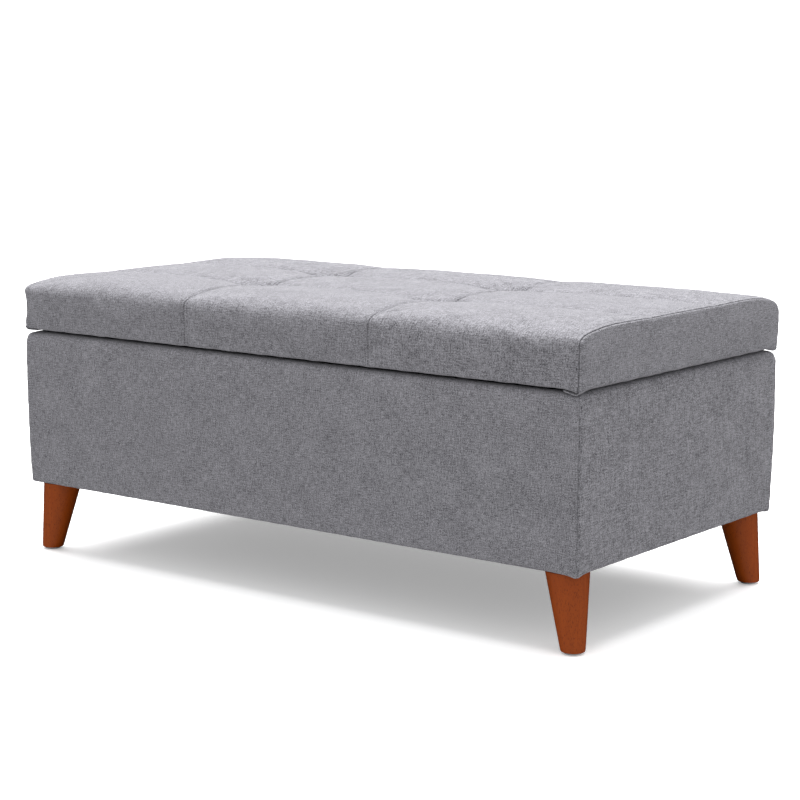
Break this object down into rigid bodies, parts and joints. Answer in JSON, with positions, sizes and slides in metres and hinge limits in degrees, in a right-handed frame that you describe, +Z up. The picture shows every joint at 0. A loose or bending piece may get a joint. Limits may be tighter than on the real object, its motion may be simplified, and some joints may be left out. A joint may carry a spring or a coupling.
{
  "type": "storage bench",
  "caption": "Upholstered storage bench with a tufted, hinged seat lid over a deep box on splayed, tapered wooden legs.",
  "frame": {"origin": "on the floor, under the middle of the upholstered box", "axes": "+X along the bench's length to the right, -Y at the front where the lid is lifted, +Y at the hinged rear, +Z up"},
  "size_m": [1.066, 0.5545, 0.445],
  "materials": {
    "grey_linen_weave": "woven polyester linen, matt, neutral grey melange",
    "walnut_stained_beech": "red-brown stain under satin lacquer",
    "birch_plywood": "raw sanded plywood",
    "pine_block": "raw sawn pine",
    "seat_foam": "open-cell foam, cream",
    "polyester_wadding": "bonded fibre, white",
    "black_non_woven": "spun-bonded cloth, matt black",
    "zinc_plated_steel": "zinc plated",
    "grey_nylon": "moulded nylon, pale grey",
    "waxed_twine": "waxed polyester twine"
  },
  "bodies": {
    "base": {"front_panel": "birch_plywood", "back_panel": "birch_plywood", "left_end_panel": "birch_plywood", "right_end_panel": "birch_plywood", "floor_panel": "birch_plywood", "corner_post_front_left": "pine_block", "corner_post_front_right": "pine_block", "corner_post_rear_right": "pine_block", "corner_post_rear_left": "pine_block", "base_foam_wrap": "polyester_wadding", "base_cover_front": "grey_linen_weave", "base_cover_back": "grey_linen_weave", "base_cover_left": "grey_linen_weave", "base_cover_right": "grey_linen_weave", "storage_liner": "black_non_woven", "dust_cover": "black_non_woven", "leg_front_left": "walnut_stained_beech", "leg_front_right": "walnut_stained_beech", "leg_rear_right": "walnut_stained_beech", "leg_rear_left": "walnut_stained_beech", "hanger_bolt_front_left": "zinc_plated_steel", "hanger_bolt_front_right": "zinc_plated_steel", "hanger_bolt_rear_right": "zinc_plated_steel", "hanger_bolt_rear_left": "zinc_plated_steel", "tee_nut_front_left": "zinc_plated_steel", "tee_nut_front_right": "zinc_plated_steel", "tee_nut_rear_right": "zinc_plated_steel", "tee_nut_rear_left": "zinc_plated_steel", "foot_glide_front_left": "grey_nylon", "foot_glide_front_right": "grey_nylon", "foot_glide_rear_right": "grey_nylon", "foot_glide_rear_left": "grey_nylon", "hinge_leaf_base": "zinc_plated_steel", "hinge_pin": "zinc_plated_steel", "stay_wall_plate_left": "zinc_plated_steel", "stay_wall_plate_right": "zinc_plated_steel"},
    "lid": {"lid_board": "birch_plywood", "seat_foam": "seat_foam", "lid_underside_cloth": "black_non_woven", "seat_patch_front_left": "grey_linen_weave", "seat_patch_front_centre": "grey_linen_weave", "seat_patch_front_right": "grey_linen_weave", "seat_patch_middle_left": "grey_linen_weave", "seat_patch_middle_centre": "grey_linen_weave", "seat_patch_middle_right": "grey_linen_weave", "seat_patch_rear_left": "grey_linen_weave", "seat_patch_rear_centre": "grey_linen_weave", "seat_patch_rear_right": "grey_linen_weave", "lid_end_boxing_left": "grey_linen_weave", "lid_end_boxing_right": "grey_linen_weave", "tuft_tie_front_left": "waxed_twine", "tuft_tie_front_right": "waxed_twine", "tuft_tie_rear_right": "waxed_twine", "tuft_tie_rear_left": "waxed_twine", "hinge_leaf_lid": "zinc_plated_steel", "stay_bracket_left": "zinc_plated_steel", "stay_bracket_right": "zinc_plated_steel"},
    "stay_left": {"stay_arm_left": "zinc_plated_steel"},
    "stay_right": {"stay_arm_right": "zinc_plated_steel"}
  },
  "joints": [
    {"name": "lid_hinge", "type": "hinge", "parent": "base", "child": "lid", "pos_m": [0, 0.2775, 0.362], "axis": [-1, 0, 0], "range_deg": [0, 95]},
    {"name": "stay_left_pivot", "type": "hinge", "parent": "lid", "child": "stay_left", "pos_m": [-0.5036, 0.15581, 0.34381], "axis": [-1, 0, 0], "range_deg": [-47.5, 0]},
    {"name": "stay_right_pivot", "type": "hinge", "parent": "lid", "child": "stay_right", "pos_m": [0.5036, 0.15581, 0.34381], "axis": [-1, 0, 0], "range_deg": [-47.5, 0]}
  ],
  "couplings": [
    {"joint": "stay_left_pivot", "follows": "lid_hinge", "ratio": -0.5},
    {"joint": "stay_right_pivot", "follows": "lid_hinge", "ratio": -0.5}
  ]
}
